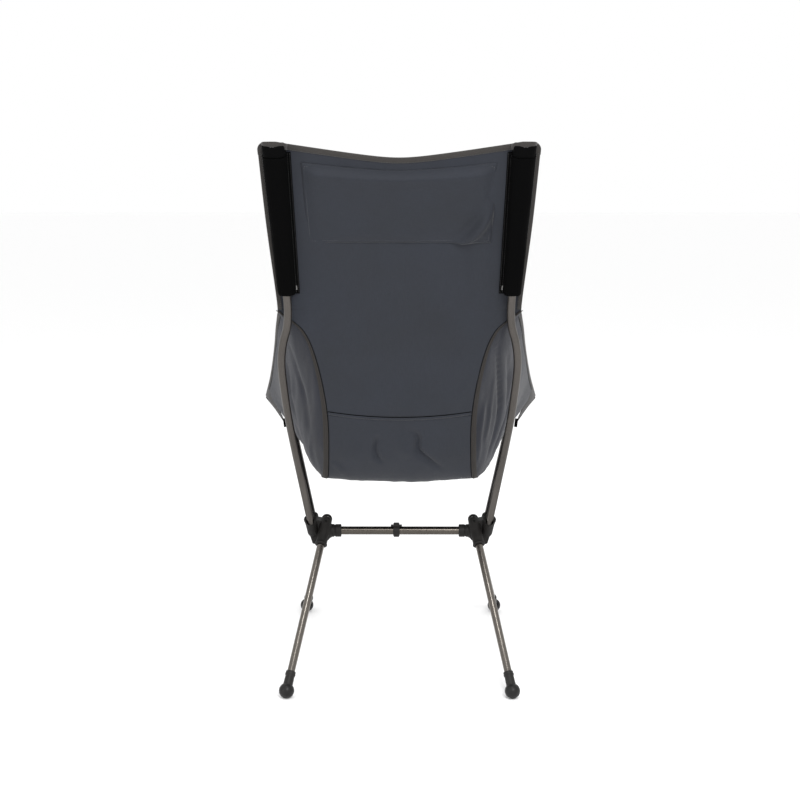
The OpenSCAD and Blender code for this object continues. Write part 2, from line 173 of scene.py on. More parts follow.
def gaps(points, axis=0):
    """The distance from each point to the next."""
    return np.linalg.norm(np.diff(points, axis=axis), axis=-1)


def walked(path):
    """How far along a path each of its points lies."""
    return np.concatenate([[0], np.cumsum(gaps(path))])


def read_off(want, walk, values):
    """The values, given at the lengths in walk, at the wanted lengths."""
    return np.stack([np.interp(want, walk, values[:, k]) for k in range(3)], -1)


def arc_uv(grid):
    """Each grid point's place on the cloth, in metres across and along."""
    across, along = gaps(grid, 1), gaps(grid)
    u = np.concatenate([np.zeros((len(grid), 1)), np.cumsum(across, 1)], 1)
    u -= u[:, u.shape[1] // 2][:, None]
    v = np.concatenate([[0], np.cumsum(along.mean(1))])
    return np.stack([u, np.repeat(v[:, None], grid.shape[1], 1)], -1)


def grid_normals(grid):
    a = np.gradient(grid, axis=0)
    b = np.gradient(grid, axis=1)
    return unit(np.cross(b, a))


def mirrored(points, side):
    out = np.array(points, float)
    if side < 0:
        out[..., 0] *= -1
    return out


def both(side, *vectors):
    return [mirrored(v, side) for v in vectors]


def ripple(points, scale, seed, octaves=2):
    """Smooth noise from -1 to 1 at each point, where scale is metres a wave along each axis."""
    flat = np.asarray(points, float).reshape(-1, points.shape[-1])
    if flat.shape[1] == 2:
        flat = np.concatenate([flat, np.zeros((len(flat), 1))], 1)
    q = flat / np.asarray(scale) + seed * 7.31
    out = np.zeros(len(q))
    gain = 1.0
    for k in range(octaves):
        out += gain * np.array([noise.noise(Vector(p)) for p in q * 2**k])
        gain *= 0.5
    return out.reshape(points.shape[:-1])


def cloth(name, grid, material, slot, *nodes, side=1, thickness=CLOTH_T):
    """A sheet of the sling's cloth through a grid of points, with its thread directions as its UVs."""
    grid = mirrored(grid, side)
    n, m = grid.shape[:2]
    faces = grid_faces(n, m)
    if side < 0:
        faces = faces[:, ::-1]
    obj = new_object(name, grid.reshape(-1, 3), faces, arc_uv(grid).reshape(-1, 2))
    solid = obj.modifiers.new("thickness", "SOLIDIFY")
    solid.thickness = thickness
    solid.offset = 0.0  # half the thickness on each side of the grid
    solid.use_even_offset = False
    obj.data.materials.append(material)
    finish_piece(obj, "sling", slot, *nodes)


def sweep(name, path, frames, profile, material):
    """A bar with the given profile, as (along a, along b) pairs, in the frames (a, b) of a path."""
    path = np.asarray(path)
    a, b = frames
    prof = np.asarray(profile)
    if prof.ndim == 2:
        prof = np.repeat(prof[None], len(path), 0)
    n, m = prof.shape[:2]
    pts = path[:, None] + prof[..., :1] * a[:, None] + prof[..., 1:] * b[:, None]
    faces = [tuple(f) for f in grid_faces(n, m, wrap=True)]
    faces.append(tuple(range(m)))
    faces.append(tuple((n - 1) * m + j for j in range(m - 1, -1, -1)))
    length = walked(path)
    across = walked(np.vstack([prof[0], prof[0][:1]]))[:-1]
    uv = np.stack(np.broadcast_arrays(across[None], length[:, None]), -1).reshape(-1, 2)
    obj = new_object(name, pts.reshape(-1, 3), faces, uv)
    obj.data.materials.append(material)
    return obj


def rounded_band(width, height, steps=4):
    """A flat band's cross-section with round edges, width by height."""
    r = height / 2
    turn = np.linspace(-math.pi / 2, math.pi / 2, steps + 1)
    right = [(width / 2 - r + r * math.cos(t), r * math.sin(t)) for t in turn]
    left = [(-x, -y) for x, y in right]
    return np.array(right + left)


def circle(radius, count):
    return [(radius * math.cos(t), radius * math.sin(t)) for t in np.linspace(0, 2 * math.pi, count + 1)[:-1]]


def resample(path, spacing):
    path = np.asarray(path, float)
    length = walked(path)
    count = max(int(round(length[-1] / spacing)), 2)
    want = np.linspace(0, length[-1], count + 1)
    return read_off(want, length, path)


def finish_piece(obj, body, slot, *nodes):
    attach(obj, body)
    if nodes:
        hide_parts(*nodes)


# ---------- Materials ----------
class Nodes:
    """A short way to build a material's node tree."""

    def __init__(self, name):
        self.mat = bpy.data.materials.new(name)
        self.mat.use_nodes = True
        self.tree = self.mat.node_tree
        self.shader = self.tree.nodes["Principled BSDF"]
        self.coords = self.add("ShaderNodeTexCoord")

    def add(self, kind, **values):
        node = self.tree.nodes.new(kind)
        for key, value in values.items():
            setattr(node, key, value)
        return node

    def link(self, a, b):
        self.tree.links.new(a, b)

    def put(self, socket, value):
        if isinstance(value, bpy.types.NodeSocket):
            self.link(value, socket)
        else:
            socket.default_value = value

    def scaled(self, source, scale):
        node = self.add("ShaderNodeMapping")
        self.link(self.coords.outputs[source], node.inputs["Vector"])
        node.inputs["Scale"].default_value = scale if hasattr(scale, "__len__") else (scale,) * 3
        return node.outputs["Vector"]

    def noise(self, vector, scale=1.0, detail=3.0, rough=0.5):
        node = self.add("ShaderNodeTexNoise")
        self.link(vector, node.inputs["Vector"])
        node.inputs["Scale"].default_value = scale
        node.inputs["Detail"].default_value = detail
        node.inputs["Roughness"].default_value = rough
        return node.outputs["Fac"]

    def wave(self, vector, pitch, direction, distortion=0.0):
        """Bands with the given distance between them, in the vector's own units."""
        node = self.add("ShaderNodeTexWave", wave_type="BANDS", bands_direction=direction)
        self.link(vector, node.inputs["Vector"])
        node.inputs["Scale"].default_value = math.pi / 10 / pitch
        node.inputs["Distortion"].default_value = distortion
        node.inputs["Detail"].default_value = 1.0
        return node.outputs["Fac"]

    def math(self, operation, a, b=0.0):
        node = self.add("ShaderNodeMath", operation=operation)
        self.put(node.inputs[0], a)
        self.put(node.inputs[1], b)
        return node.outputs[0]

    def span(self, value, low, high, to_low, to_high):
        node = self.add("ShaderNodeMapRange")
        self.put(node.inputs["Value"], value)
        for key, number in zip(("From Min", "From Max", "To Min", "To Max"), (low, high, to_low, to_high)):
            node.inputs[key].default_value = number
        return node.outputs["Result"]

    def shade(self, color, factor):
        """A colour times a factor."""
        node = self.add("ShaderNodeMix", data_type="RGBA", blend_type="MULTIPLY")
        node.inputs["Factor"].default_value = 1.0
        self.put(node.inputs["A"], color)
        grey = self.add("ShaderNodeCombineColor")
        for key in ("Red", "Green", "Blue"):
            self.link(factor, grey.inputs[key])
        self.link(grey.outputs["Color"], node.inputs["B"])
        return node.outputs["Result"]

    def bump(self, height, distance, strength):
        node = self.add("ShaderNodeBump")
        self.link(height, node.inputs["Height"])
        node.inputs["Distance"].default_value = distance
        node.inputs["Strength"].default_value = strength
        return node.outputs["Normal"]

    def finish(self, color=None, roughness=None, normal=None, **sockets):
        for key, value in (("Base Color", color), ("Roughness", roughness), ("Normal", normal)):
            if value is not None:
                self.put(self.shader.inputs[key], value)
        for key, value in sockets.items():
            self.shader.inputs[key.replace("_", " ")].default_value = value
        return self.mat


MOTTLE = 0.14  # how far the cloth's tone wanders


def rgba(r, g, b):
    return (r, g, b, 1.0)


def woven(name, color, pitch, depth, sheen, roughness=0.72, specular=0.25):
    """Cloth: crossing threads, slubs, and a slow change of tone."""
    n = Nodes(name)
    uv = n.scaled("UV", 1.0)
    warp = n.wave(uv, pitch, "X", 0.6)
    weft = n.wave(uv, pitch * 1.1, "Y", 0.6)
    threads = n.math("MULTIPLY", warp, weft)
    slub = n.noise(n.scaled("UV", (90, 900, 1)), 1.0, 2.0)
    slub_across = n.noise(n.scaled("UV", (900, 90, 1)), 1.0, 2.0)
    slubs = n.math("ADD", slub, slub_across)
    cloud = n.noise(n.scaled("Object", 9.0), 1.0, 4.0, 0.6)
    tone = n.math(
        "MULTIPLY",
        n.span(cloud, 0.3, 0.7, 1 - MOTTLE, 1 + MOTTLE),
        n.math("MULTIPLY", n.span(slubs, 0.6, 1.4, 0.9, 1.1), n.span(threads, 0, 1, 0.84, 1.1)),
    )
    height = n.math("ADD", threads, n.math("MULTIPLY", slubs, 0.6))
    return n.finish(
        n.shade(rgba(*color), tone),
        n.span(cloud, 0.3, 0.7, roughness - 0.05, roughness + 0.07),
        n.bump(height, depth, 0.7),
        Sheen_Weight=sheen,
        Sheen_Roughness=0.45,
        Specular_IOR_Level=specular,
    )


def anodised(name, color, roughness=0.3):
    """Drawn tube with a warm grey anodised skin and faint scuffs."""
    n = Nodes(name)
    scuffs = n.noise(n.scaled("Object", (500, 500, 40)), 1.0, 3.0, 0.65)
    cloud = n.noise(n.scaled("Object", 16.0), 1.0, 3.0)
    tone = n.math("MULTIPLY", n.span(scuffs, 0.3, 0.7, 0.9, 1.12), n.span(cloud, 0.3, 0.7, 0.93, 1.07))
    return n.finish(
        n.shade(rgba(*color), tone),
        n.span(scuffs, 0.3, 0.75, roughness - 0.05, roughness + 0.1),
        n.bump(scuffs, 0.00001, 0.25),
        Metallic=1.0,
        Anisotropic=0.4,
    )


def moulded_plastic(name, color, roughness=0.56, grain=0.00005, specular=0.2):
    """Black nylon with a spark-eroded grain, and pale rubbing here and there."""
    n = Nodes(name)
    fine = n.noise(n.scaled("Object", 1500.0), 1.0, 2.0)
    broad = n.noise(n.scaled("Object", 60.0), 1.0, 4.0, 0.6)
    tone = n.math("MULTIPLY", n.span(broad, 0.35, 0.7, 0.85, 1.35), n.span(fine, 0.3, 0.7, 0.92, 1.08))
    return n.finish(
        n.shade(rgba(*color), tone),
        n.span(broad, 0.3, 0.7, roughness - 0.08, roughness + 0.1),
        n.bump(fine, grain, 0.5),
        Specular_IOR_Level=specular,
    )


def braided(name, color):
    n = Nodes(name)
    braid = n.wave(n.scaled("Object", 1.0), 0.0012, "DIAGONAL", 0.5)
    tone = n.span(braid, 0, 1, 0.7, 1.1)
    return n.finish(n.shade(rgba(*color), tone), 0.8, n.bump(braid, 0.0002, 0.6), Sheen_Weight=0.1)


def plain(name, color, roughness):
    return Nodes(name).finish(rgba(*color), roughness)


SLATE = woven("slate_cloth", (0.0165, 0.0190, 0.0260), 0.0011, 0.00012, sheen=0.1)
# The slate cloth again, made a little darker for the side panels: painted shade for their up-facing, more
# brightly lit inner faces
SHADED_SIDE_SLATE = woven("side_cloth_painted_shade", (0.0160, 0.0176, 0.0255), 0.0011, 0.00012, sheen=0.1)
HEM = woven("hem_cloth", (0.031, 0.028, 0.026), 0.0011, 0.00012, sheen=0.12)
TAPE = woven("seam_tape_weave", (0.0235, 0.020, 0.0175), 0.0014, 0.0002, sheen=0.05)
POCKET_CLOTH = woven("pocket_cloth", (0.03, 0.0275, 0.028), 0.0011, 0.00012, sheen=0.12)
BLACK = (0.0013, 0.0013, 0.0014)
WEBBING = woven("black_webbing", BLACK, 0.0016, 0.00025, sheen=0.0, roughness=0.95, specular=0.04)
BINDING = woven("black_binding", BLACK, 0.0012, 0.0002, sheen=0.0, roughness=0.9, specular=0.05)
THREAD = braided("dark_thread", (0.012, 0.012, 0.013))
BINDING_THREAD = braided("black_thread", (0.008, 0.008, 0.0085))
LIGHT_THREAD = braided("slate_thread", (0.055, 0.056, 0.06))
PALE_THREAD = braided("bar_tack_thread", (0.22, 0.215, 0.21))
ELASTIC = braided("elastic_braid", (0.55, 0.54, 0.5))
POLE = anodised("pole_anodised", (0.085, 0.078, 0.072), 0.33)
LEG = anodised("leg_anodised", (0.145, 0.132, 0.118), 0.2)
BAR = anodised("crossbar_anodised", (0.085, 0.076, 0.066), 0.26)
HUB_PLASTIC = moulded_plastic("hub_nylon", (0.0085, 0.0078, 0.0072))
FOOT_PLASTIC = moulded_plastic("foot_nylon", (0.014, 0.013, 0.0125), 0.42)
FOOT_RUBBER = moulded_plastic("foot_rubber", (0.011, 0.0105, 0.0105), 0.38, 0.00003)

NODE_MATERIALS = {
    "crossbar": BAR, "front_pole": POLE, "rear_pole_upper": POLE, "rear_pole_ferrule": POLE,
    "leg_tube": LEG, "foot_collar": FOOT_PLASTIC, "foot_ball": FOOT_RUBBER, "hub": HUB_PLASTIC,
    "cap": HUB_PLASTIC, "cord": ELASTIC, "crossbar_clip": HUB_PLASTIC,
}


def dress_cad_nodes():
    for name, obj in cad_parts.items():
        obj = bpy.data.objects[obj] if isinstance(obj, str) else obj
        found = [key for key in NODE_MATERIALS if key in name]
        if not found:
            continue
        best = "cord" if "cord" in found else "cap" if "cap" in found else max(found, key=len)
        obj.data.materials.clear()
        obj.data.materials.append(NODE_MATERIALS[best])


# ---------- Sling ----------
def steps(a, b, n):
    return np.linspace(a, b, n + 1)


def wrinkled(grid, terms, seed, fade):
    """Pushes a grid along its normals by directional ripples, less towards its held edges."""
    uv = arc_uv(grid)
    push = np.zeros(grid.shape[:2])
    for k, (height, across, along) in enumerate(terms):
        push += height * ripple(uv, (across, along, 1), seed + k)
    return grid + grid_normals(grid) * (push * fade)[..., None]


def creased(grid, lines):
    """Raises or sinks a grid along creases, each given as (points, width, height)."""
    normals = grid_normals(grid)
    push = np.zeros(grid.shape[:2])
    for points, width, height in lines:
        fine = curve(np.asarray(points), np.linspace(0, len(points) - 1, 40))
        gap = np.linalg.norm(grid[:, :, None] - fine[None, None], axis=-1)
        near = gap.argmin(-1)
        strength = np.sin(np.pi * (near + 0.5) / len(fine)) ** 0.6
        push += height * strength * np.exp(-((gap.min(-1) / width) ** 2))
    return grid + normals * push[..., None]


def edge_fade(n, m, top, bottom, sides):
    """1 in the middle of a grid, falling to 0 over a share of it at each edge (0 keeps it at 1)."""
    def ramp(count, low, high):
        t = np.linspace(0, 1, count)
        out = np.ones(count)
        if low:
            out *= np.clip(t / low, 0, 1)
        if high:
            out *= np.clip((1 - t) / high, 0, 1)
        return out * out * (3 - 2 * out)
    return ramp(n, top, bottom)[:, None] * ramp(m, sides, sides)[None]


def back_panel():
    n, m = 130, 96
    rows = steps(0.03, SEAT_ROW, n - 1)
    half = curve(SEAM, rows)[:, 0]
    beside_hem = 0.0015 * np.clip((SEAM_ROW - rows) / 0.2, 0, 1)
    round_corner = 0.008 * np.clip(1 - rows / 0.12, 0, 1) ** 2
    trim = (beside_hem + round_corner) / half
    grid = np.stack([centre_point(row, steps(-1, 1, m - 1) * (1 - t)) for row, t in zip(rows, trim)])
    terms = [(0.0016, 0.045, 0.35), (0.0009, 0.02, 0.16), (0.002, 0.2, 0.12)]
    grid = wrinkled(grid, terms, 3, edge_fade(n, m, 0.06, 0.08, 0.08))
    grid = creased(grid, [
        (centre_point([1.36, 1.5, 1.8, 2.3], [-0.5, -0.56, -0.6, -0.62]), 0.012, -0.0025),
        (centre_point([1.5, 2.2, 3.0], [0.55, 0.5, 0.42]), 0.02, -0.002),
        (centre_point([3.6, 4.0, 4.5], [0.85, 0.7, 0.62]), 0.012, -0.002),
        (centre_point([3.5, 4.0, 4.6], [-0.85, -0.72, -0.6]), 0.012, -0.002),
        (centre_point([5.1, 5.5, 5.8], [-0.95, -0.86, -0.8]), 0.008, 0.002),
    ])
    cloth("back_panel_cloth", grid, SLATE, "sling_fabric", "back_panel")


def seat_panel():
    n, m = 120, 80
    rows = steps(SEAT_ROW, FRONT_ROW - 0.02, n - 1)
    grid = np.stack([centre_point(row, steps(-1, 1, m - 1)) for row in rows])
    terms = [(0.0018, 0.05, 0.12), (0.001, 0.022, 0.08)]
    grid = wrinkled(grid, terms, 11, edge_fade(n, m, 0.06, 0.05, 0.1))
    grid = creased(grid, [
        (centre_point([6.4, 6.58, 6.8, 7.0], [0.31, 0.35, 0.335, 0.255]), 0.0045, -0.0075),
        (centre_point([6.28, 6.43, 6.68, 6.9, 7.2], [-0.16, -0.255, -0.255, -0.4, -0.565]), 0.0055, -0.009),
        (centre_point([6.35, 6.6, 6.85], [0.05, -0.02, -0.12]), 0.012, 0.003),
        (centre_point([7.1, 7.3, 7.6], [0.95, 0.85, 0.8]), 0.006, 0.003),
    ])
    cloth("seat_panel_cloth", grid, SLATE, "sling_fabric", "seat_panel")


SIDE_CREASES_RIGHT = [
    (side_point([4.58, 5.45, 6.38, 7.1, 7.58], [0.267, 0.417, 0.458, 0.375, 0.267]), 0.007, -0.006),
    (side_point([5.05, 6.2, 7.0], [0.567, 0.633, 0.55]), 0.007, -0.005),
    (side_point([5.93, 6.5, 7.38], [0.217, 0.133, 0.1]), 0.006, 0.004),
    (side_point([5.6, 6.3, 6.9], [0.33, 0.3, 0.2]), 0.005, 0.0035),
    (side_point([6.6, 7.1, 7.7, 8.3], [0.7, 0.6, 0.45, 0.35]), 0.008, -0.005),
    (side_point([8.0, 8.6, 9.4], [0.2, 0.4, 0.6]), 0.01, 0.004),
]
SIDE_CREASES_LEFT = [
    (side_point([4.95, 5.58, 6.18, 6.8], [0.617, 0.5, 0.367, 0.283]), 0.009, -0.004),
    (side_point([5.78, 6.6, 7.25], [0.742, 0.642, 0.508]), 0.007, -0.004),
    (side_point([6.9, 7.4, 7.9], [0.25, 0.3, 0.28]), 0.007, 0.003),
    (side_point([7.4, 8.0, 8.9], [0.55, 0.5, 0.6]), 0.009, -0.004),
]


def side_panel(side):
    n, m = 130, 44
    rows = steps(SEAM_ROW + 0.02, FRONT_ROW, n - 1)
    width = np.linalg.norm(curve(EDGE, rows) - curve(SEAM, rows), axis=-1)
    reach = [1 - min(0.5, 0.003 / w) for w in width]
    grid = np.stack([side_point(row, steps(0, end, m - 1)) for row, end in zip(rows, reach)])
    terms = [(0.0022, 0.035, 0.25), (0.001, 0.016, 0.12)]
    grid = wrinkled(grid, terms, 21 if side > 0 else 25, edge_fade(n, m, 0.15, 0.1, 0.2))
    grid = creased(grid, SIDE_CREASES_LEFT if side > 0 else SIDE_CREASES_RIGHT)
    label = LABEL[side]
    cloth(f"side_panel_cloth_{label}", grid, SHADED_SIDE_SLATE, "side_fabric", f"side_panel_{label}", side=side)


def headrest_panel():
    n, m = 44, 90
    rows = steps(0.2, 1.3, n - 1)
    grid = np.stack([centre_point(row, steps(-0.7, 0.7, m - 1)) for row in rows])
    puff = edge_fade(n, m, 0.12, 0.12, 0.06)
    below = np.clip((rows - 0.235) / 0.085, 0, 1)
    lip = (below**0.8 * np.exp(-np.clip(rows - 0.32, 0, 9) / 0.22))[:, None] * edge_fade(n, m, 0, 0, 0.1)
    grid = grid + (0.0014 + 0.003 * puff + 0.0075 * lip)[..., None] * BACK_NORMAL
    grid = wrinkled(grid, [(0.0016, 0.09, 0.05)], 31, puff)
    crease = centre_point([1.27, 1.18, 1.03, 0.83, 0.6], [-0.42, -0.52, -0.595, -0.655, -0.67])
    crease = crease + 0.003 * BACK_NORMAL
    drop = np.array([0, 0, 0.010])
    grid = creased(grid, [(crease - drop, 0.009, 0.0135), (crease + drop, 0.010, -0.005)])
    cloth("headrest_cloth", grid, SLATE, "sling_fabric", "headrest_panel")


def bar(name, slot, path, frames, profile, material, side=1, *nodes):
    """A swept band, tape or line of the sling, on its side of the chair."""
    obj = sweep(name, mirrored(path, side), both(side, *frames), profile, material)
    finish_piece(obj, "sling", slot, *nodes)


def hem_band(name, edge, into, normals, width, height, node, side=1):
    """A folded hem: a flat tube of cloth with its round fold on the edge."""
    path = edge + into * width / 2
    bar(name, "hem_tape", path, (into, normals), rounded_band(width, height), HEM, side, node)


def stitches(name, paths, normals, material, slot, pitch=0.0042, length=0.0031, radius=0.00032):
    """Rows of thread stitches along paths, each a small spindle lying on the cloth, as one mesh."""
    verts, faces = [], []
    ring = np.linspace(0, 2 * math.pi, 6)[:-1]
    for path, normal in zip(paths, normals):
        walk = walked(path)
        starts = np.arange(pitch / 2, walk[-1] - pitch / 2, pitch)
        place = [read_off(starts + d, walk, path) for d in (0, length)]
        out = unit(read_off(starts, walk, normal))
        run = unit(place[1] - place[0])
        side = unit(np.cross(run, out))
        for a, b, o, r in zip(place[0], place[1], out, side):
            first = len(verts)
            verts.append(a)
            for t, swell in ((0.15, 0.8), (0.5, 1.0), (0.85, 0.8)):
                at = a + (b - a) * t + o * radius * 0.5 * swell
                verts += [at + radius * swell * (math.cos(q) * r + math.sin(q) * o) for q in ring]
            verts.append(b)
            last = len(verts) - 1
            for j in range(5):
                k = (j + 1) % 5
                faces.append((first, first + 1 + k, first + 1 + j))
                faces.append((first + 1 + j, first + 1 + k, first + 6 + k, first + 6 + j))
                faces.append((first + 6 + j, first + 6 + k, first + 11 + k, first + 11 + j))
                faces.append((first + 11 + j, first + 11 + k, last))
    obj = new_object(name, verts, faces)
    obj.data.materials.append(material)
    finish_piece(obj, "sling", slot)


def both_faces(path, normal, lift):
    """The same line on the back and on the front of the cloth."""
    return [path + normal * lift, path - normal * lift], [normal, -normal]


def hem_stitches(label, path, into, normals, inset, lift, side=1):
    lines, outs = both_faces(path + into * inset, normals, lift)
    stitches(f"{label}_stitches", both(side, *lines), both(side, *outs),
             LIGHT_THREAD, "seam_tape")


def cross_seam_frames(w):
    """The seam between back and seat at places w: its points, the way up the cloth and the way off it."""
    row = SEAT_ROW - SEAM_SAG * w**2
    edge = centre_point(row, w)
    up = unit(centre_point(SEAT_ROW - 0.1 - SEAM_SAG * w**2, w) - edge)
    face = unit(np.cross(unit(np.gradient(edge, axis=0)), up))
    return edge, up, face * np.sign((face * BACK_NORMAL).sum(-1, keepdims=True))


def panel_stitches():
    """Topstitching round the headrest panel, along the side seams and along the cross seam."""
    t = steps(0, 1, 60)
    loop_rows = np.concatenate([0.24 + 0 * t, 0.24 + 1.03 * t, 1.27 + 0 * t, 1.27 - 1.03 * t])
    loop_ws = np.concatenate([-0.68 + 1.36 * t, 0.68 + 0 * t, 0.68 - 1.36 * t, -0.68 + 0 * t])
    loop = centre_point(loop_rows, loop_ws)
    back = np.tile(BACK_NORMAL, (len(loop), 1))
    stitches("headrest_stitches", [loop + 0.0021 * back, loop - 0.0006 * back], [back, -back], LIGHT_THREAD,
             "seam_tape")
    edge, up, face = cross_seam_frames(steps(-0.98, 0.98, 120))
    low = edge - up * 0.005
    stitches("seat_seam_stitches", [low + face * 0.0017, low - face * 0.0006], [face, -face], LIGHT_THREAD,
             "seam_tape")
    rows = steps(SEAM_ROW + 0.2, FRONT_ROW - 0.12, 260)
    s, across, face = seam_frames(rows)
    for side, label in ((1, "left"), (-1, "right")):
        lines = [s + across * 0.0022 + face * 0.0017, s + across * 0.0052 + face * 0.0017,
                 s + across * 0.0022 - face * 0.0006]
        stitches(f"side_seam_stitches_{label}", both(side, *lines),
                 both(side, face, face, -face), THREAD, "seam_tape")


def side_hem(side):
    rows = steps(0.13, FRONT_ROW, 300)
    edge = curve(EDGE, rows)
    into = inward(rows)
    along = unit(np.gradient(edge, axis=0))
    normals = unit(np.cross(into, along))
    label = LABEL[side]
    hem_stitches(f"side_hem_{label}", edge, into, normals, HEM_W - 0.0018, 0.0013, side)
    low = rows > SEAM_ROW
    # A thin black cord along the hem's inner edge: painted shade, standing in for the shadow in the gap beside
    # the hem
    inner = (edge + into * (HEM_W + 0.0004) - normals * 0.0004)[low]
    bar(f"side_hem_line_{label}", "seam_tape", inner, (into[low], normals[low]),
        circle(0.0007, 8), BINDING, side)
    hem_band(f"side_hem_band_{label}", edge, into, normals, HEM_W, 0.0026, f"side_hem_{label}", side)


def over_tip(x):
    """How far the top hem stands off the cloth's plane at a place across the chair, over a pole's tip."""
    half, reach = 0.0200, np.abs(np.abs(x) - TIP_X)
    inside = np.clip(1 - (reach / half) ** 2, 0, 1)
    return (SLEEVE_DEPTH + 0.002) * inside ** 0.45


def top_hem():
    """The hem along the top edge, standing off round the pole tips and turned down at both corners."""
    corner = curve(EDGE, [0.0])[0]
    turn = np.linspace(0, 1, 16)
    reach = float(corner[0]) - CORNER_R
    w = np.concatenate([steps(0, 0.72, 60), steps(0.72, reach / float(corner[0]), 110)[1:]])
    top = centre_point(0.0, w)
    into = unit(centre_point(0.09, w) - centre_point(0.0, w))
    down = np.array([0, -0.44, -1.0])
    arc = top[-1] + CORNER_R * (np.sin(turn * math.pi / 2)[:, None] * np.array([1.0, 0, 0])
                                + (1 - np.cos(turn * math.pi / 2))[:, None] * down)
    tail = arc[-1] + steps(0, CORNER_TAIL, 8)[1:, None] * unit(down + np.array([-0.04, 0, 0]))
    arc_into = (np.cos(turn * math.pi / 2)[:, None] * unit(down)
                - np.sin(turn * math.pi / 2)[:, None] * np.array([1.0, 0, 0]))
    half = np.concatenate([top, arc[1:], tail])
    half[:, 1] += over_tip(half[:, 0])
    half_into = np.concatenate([into, arc_into[1:], np.tile([-1.0, 0, 0], (len(tail), 1))])
    flip = np.array([-1.0, 1, 1])
    edge = np.concatenate([half[:0:-1] * flip, half])
    into = np.concatenate([half_into[:0:-1] * flip, half_into])
    far = walked(edge)
    path = resample(edge, 0.0018)
    want = np.linspace(0, far[-1], len(path))
    into = unit(read_off(want, far, into))
    along = unit(np.gradient(path, axis=0))
    normals = unit(np.cross(into, along))
    across = unit(np.cross(along, normals))
    hem_stitches("top_hem", path, across, normals, 0.0090, 0.0015)
    hem_band("top_hem_band", path, across, normals, TOP_HEM_W, 0.003, "top_hem")


def front_hem():
    w = steps(-1, 1, 120)
    edge = centre_point(FRONT_ROW, w)
    into = unit(centre_point(FRONT_ROW - 0.1, w) - edge)
    along = unit(np.gradient(edge, axis=0))
    normals = unit(np.cross(into, along))
    hem_stitches("front_hem", edge, into, normals, 0.0082, 0.0015)
    hem_band("front_hem_band", edge, into, normals, 0.010, 0.003, "front_hem")


def seam_frames(rows):
    s = curve(SEAM, rows)
    into = unit(centre_point(rows, 0.9) - s)
    out = unit(side_point(rows, 0.12) - s)
    across = unit(out - into)
    along = unit(np.gradient(s, axis=0))
    face = unit(np.cross(across, along))
    face *= np.sign((face * (s - np.array([0, -0.05, 0.65]))).sum(-1, keepdims=True))
    return s, across, face


def seam_tape(side):
    """The tape sewn down beside a side seam, and the dark sunk line of the seam itself."""
    rows = steps(SEAM_ROW + 0.12, FRONT_ROW - 0.1, 240)
    s, across, face = seam_frames(rows)
    label = LABEL[side]
    width = 0.0055 + 0.005 * np.clip((rows - 4.5) / 2.0, 0, 1)
    band = rounded_band(1.0, 0.1, 2)[None] * np.stack([width, np.full_like(width, 0.011)], -1)[:, None]
    middle = s + across * (width / 2 + 0.0008)[:, None] + face * 0.0010
    bar(f"side_seam_tape_band_{label}", "seam_tape", middle, (across, face), band, TAPE, side,
        f"side_seam_tape_{label}")
    bar(f"side_seam_line_{label}", "seam_tape", s + face * 0.0003, (across, face),
        circle(0.0006, 8), BINDING, side)


def seat_seam():
    """The cross seam: a dark sunk line with a narrow fold of cloth sewn down under it."""
    edge, up, face = cross_seam_frames(steps(-0.99, 0.99, 100))
    fold = edge - up * 0.0035 + face * 0.0011
    bar("seat_seam_fold", "seam_tape", fold, (up, face), rounded_band(0.006, 0.0012, 2), SLATE, 1,
        "seat_seam_tape")
    bar("seat_seam_line", "seam_tape", edge + face * 0.0006, (up, face), circle(0.0008, 8), BINDING)


def upper_axis(z):
    z = np.asarray(z, float)
    return UPPER_FROM + UPPER_DIR * ((z - UPPER_FROM[2]) / UPPER_DIR[2])[..., None]


def sleeve_profile(half, count=28):
    a = np.linspace(0, math.pi, count)
    x = half * np.sign(np.cos(a)) * np.abs(np.cos(a)) ** (2 / 3)
    return x, -SLEEVE_FOOT + SLEEVE_DEPTH * np.abs(np.sin(a)) ** (2 / 3)


def sleeve(side):
    zs = steps(SLEEVE_LOW, SLEEVE_TOP, 70)
    grid = []
    for z in zs:
        t = (z - SLEEVE_LOW) / (SLEEVE_TOP - SLEEVE_LOW)
        x, d = sleeve_profile((0.030 + 0.008 * t) / 2)
        grid.append(upper_axis(z)[None] + np.stack([x, 0 * x, 0 * x], -1) + d[:, None] * BACK_NORMAL)
    grid = np.array(grid)
    fade = edge_fade(len(zs), grid.shape[1], 0.0, 0.05, 0.15)
    grid = wrinkled(grid, [(0.0007, 0.03, 0.05), (0.0005, 0.012, 0.09)], 41 if side > 0 else 45, fade)
    label = LABEL[side]
    cloth(f"sleeve_webbing_{label}", grid, WEBBING, "sleeve_fabric", f"sleeve_{label}", side=side,
          thickness=WEBBING_T)


